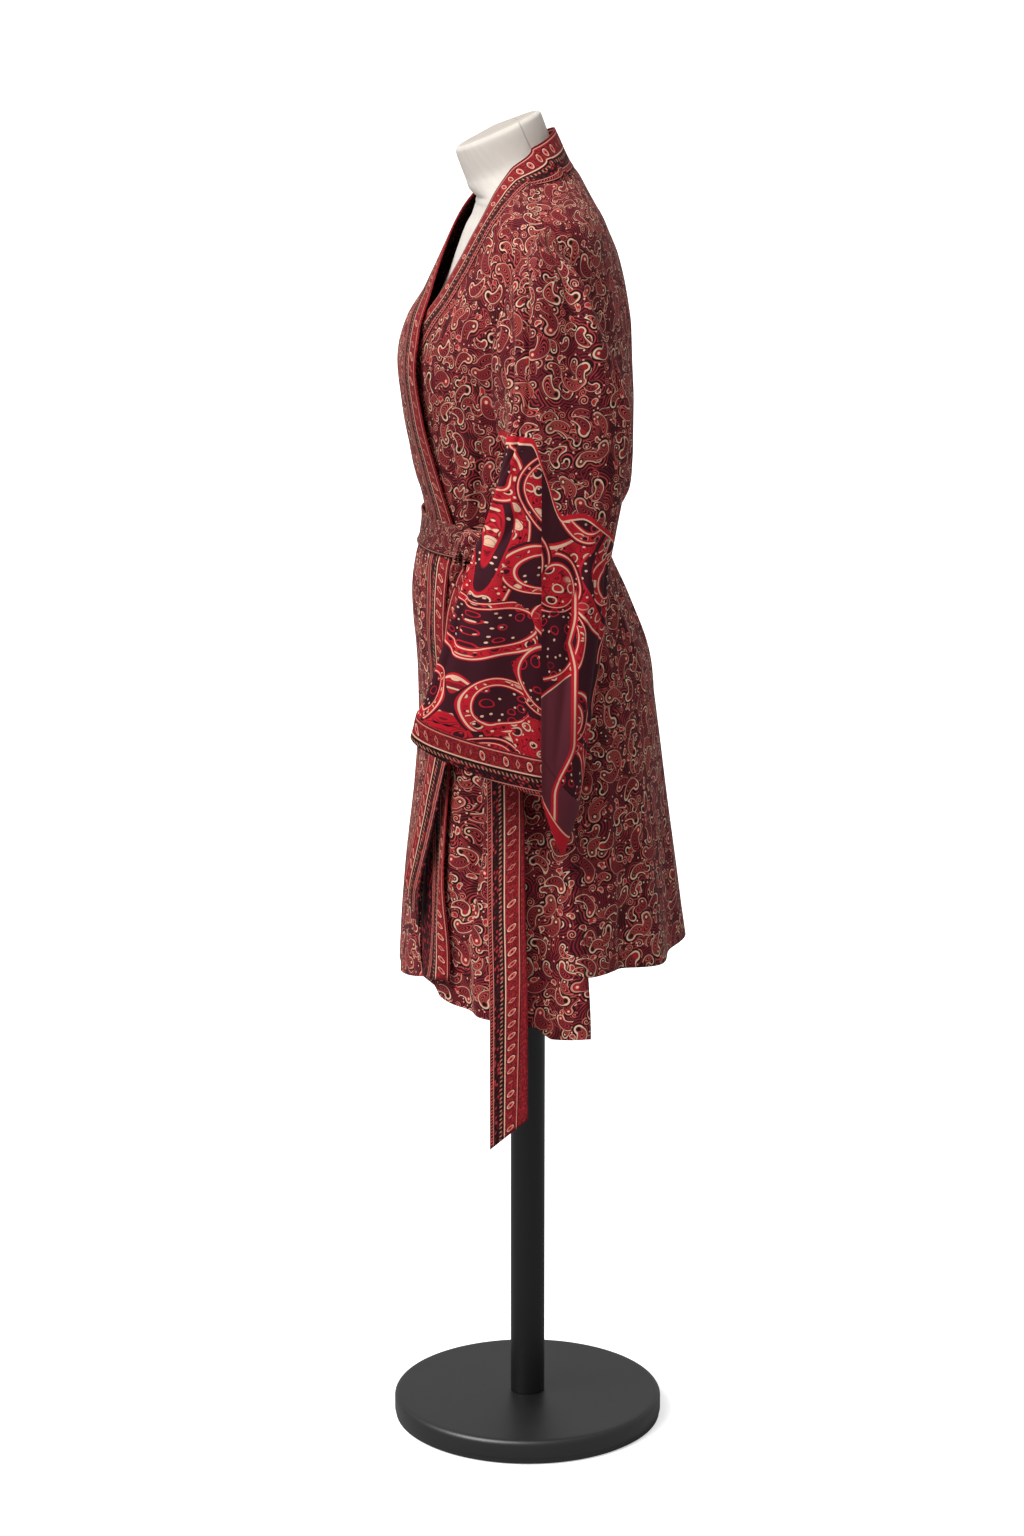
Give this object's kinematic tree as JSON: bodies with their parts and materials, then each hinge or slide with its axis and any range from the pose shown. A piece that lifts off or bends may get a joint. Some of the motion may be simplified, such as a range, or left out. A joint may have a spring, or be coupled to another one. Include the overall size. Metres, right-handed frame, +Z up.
{
  "type": "wrap kimono on a limbless dress form with a stand",
  "caption": "Thigh-length printed wrap kimono with banded edges, wide sleeves and a tied sash, on a limbless dress form with a pole and a round base.",
  "frame": {"origin": "middle of the stand base's underside, on the pole's axis", "axes": "+Z up, -Y the way the garment faces, +X the wearer's left"},
  "size_m": [0.5272, 0.3196, 1.4509],
  "materials": {
    "printed_cloth": "soft matte printed weave",
    "sleeve_cloth": "soft matte printed weave with a large print below the elbow",
    "border_cloth": "soft matte printed border",
    "form_cloth": "matte plain weave",
    "black_metal": "satin"
  },
  "bodies": {
    "root": {"back": "printed_cloth", "front_left": "printed_cloth", "front_right": "printed_cloth", "collar_band": "border_cloth", "sleeve_left": "sleeve_cloth", "sleeve_right": "sleeve_cloth", "cuff_left": "border_cloth", "cuff_right": "border_cloth", "belt_wrap": "border_cloth", "belt_knot": "border_cloth", "belt_loop_front": "border_cloth", "belt_loop_back": "border_cloth", "belt_tail_long": "border_cloth", "belt_tail_short": "border_cloth", "form_torso": "form_cloth", "stand_pole": "black_metal", "stand_base": "black_metal"}
  },
  "joints": []
}
